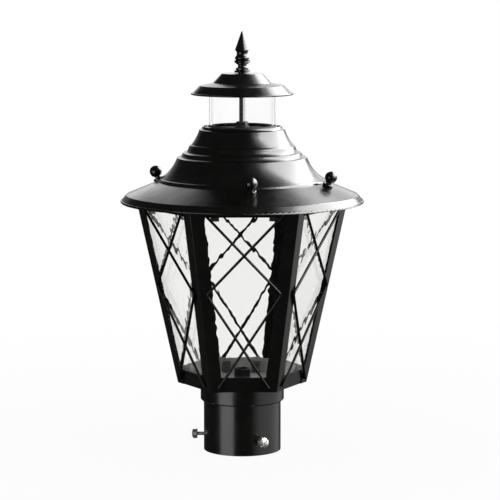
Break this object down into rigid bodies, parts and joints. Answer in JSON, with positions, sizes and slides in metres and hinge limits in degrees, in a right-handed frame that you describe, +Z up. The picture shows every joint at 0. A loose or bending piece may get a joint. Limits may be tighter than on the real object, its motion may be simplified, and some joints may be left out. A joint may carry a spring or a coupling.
{
  "type": "post top lantern",
  "caption": "Six sided tapered glass lantern with crossed wire lattice, round spun roof, glass chimney, cap and finial, on a tube that drops over a lamp post.",
  "frame": {"origin": "centre of the open lower end of the post tube", "axes": "+Z up along the post and lantern axis, front of the lantern at -Y, +X to the right seen from the front"},
  "size_m": [0.2564, 0.2564, 0.4442],
  "materials": {
    "black_enamel": "semi-gloss black enamel on steel",
    "cage_glass": "clear rippled water glass, faintly green",
    "chimney_glass": "clear blown glass tube",
    "bright_nickel": "bright nickel plate",
    "rod_chrome": "polished chrome rod",
    "zinc_plated_steel": "zinc plated steel",
    "seal_silicone": "soft translucent silicone",
    "black_phenolic": "moulded black phenolic",
    "contact_brass": "drawn brass tube"
  },
  "bodies": {
    "cage": {"fitter_tube": "black_enamel", "fitter_collar": "black_enamel", "base_tray": "black_enamel", "top_band": "black_enamel", "corner_post_1": "black_enamel", "corner_post_2": "black_enamel", "corner_post_3": "black_enamel", "corner_post_4": "black_enamel", "corner_post_5": "black_enamel", "corner_post_6": "black_enamel", "glass_pane_1": "cage_glass", "glass_pane_2": "cage_glass", "glass_pane_3": "cage_glass", "glass_pane_4": "cage_glass", "glass_pane_5": "cage_glass", "glass_pane_6": "cage_glass", "lattice_1": "black_enamel", "lattice_2": "black_enamel", "lattice_3": "black_enamel", "lattice_4": "black_enamel", "lattice_5": "black_enamel", "lattice_6": "black_enamel", "lower_pane_clips": "zinc_plated_steel", "upper_pane_clips": "zinc_plated_steel", "roof_tabs": "black_enamel", "holder_plate": "zinc_plated_steel", "plate_screws": "zinc_plated_steel", "lamp_holder": "black_phenolic", "holder_contacts": "contact_brass"},
    "roof_assembly": {"roof": "black_enamel", "rod_strap": "black_enamel", "strap_rivets": "black_enamel", "centre_rod": "rod_chrome", "rod_nuts": "zinc_plated_steel", "rod_washer": "zinc_plated_steel", "lower_seal": "seal_silicone", "chimney_glass": "chimney_glass", "upper_seal": "seal_silicone", "chimney_cap": "black_enamel"},
    "finial": {"finial": "black_enamel"},
    "knob_1": {"roof_knob_1": "black_enamel"},
    "knob_2": {"roof_knob_2": "black_enamel"},
    "knob_3": {"roof_knob_3": "black_enamel"},
    "knob_4": {"roof_knob_4": "black_enamel"},
    "set_screw_1": {"set_screw_1": "bright_nickel"},
    "set_screw_2": {"set_screw_2": "bright_nickel"},
    "set_screw_3": {"set_screw_3": "bright_nickel"}
  },
  "joints": [
    {"name": "roof_lift", "type": "slide", "parent": "cage", "child": "roof_assembly", "axis": [0, 0, 1], "range_m": [0, 0.15]},
    {"name": "finial_unscrew", "type": "slide", "parent": "roof_assembly", "child": "finial", "axis": [0, 0, 1], "range_m": [0, 0.016]},
    {"name": "knob_1_unscrew", "type": "slide", "parent": "roof_assembly", "child": "knob_1", "axis": [0.0368, -0.3825, 0.9232], "range_m": [0, 0.012]},
    {"name": "knob_2_unscrew", "type": "slide", "parent": "roof_assembly", "child": "knob_2", "axis": [0.3623, -0.1283, 0.9232], "range_m": [0, 0.012]},
    {"name": "knob_3_unscrew", "type": "slide", "parent": "roof_assembly", "child": "knob_3", "axis": [-0.0368, 0.3825, 0.9232], "range_m": [0, 0.012]},
    {"name": "knob_4_unscrew", "type": "slide", "parent": "roof_assembly", "child": "knob_4", "axis": [-0.3623, 0.1283, 0.9232], "range_m": [0, 0.012]},
    {"name": "set_screw_1_travel", "type": "slide", "parent": "cage", "child": "set_screw_1", "axis": [0.4384, -0.8988, 0], "range_m": [-0.003, 0.006]},
    {"name": "set_screw_2_travel", "type": "slide", "parent": "cage", "child": "set_screw_2", "axis": [0.5592, 0.829, 0], "range_m": [-0.003, 0.006]},
    {"name": "set_screw_3_travel", "type": "slide", "parent": "cage", "child": "set_screw_3", "axis": [-0.9976, 0.0698, 0], "range_m": [-0.003, 0.006]}
  ]
}
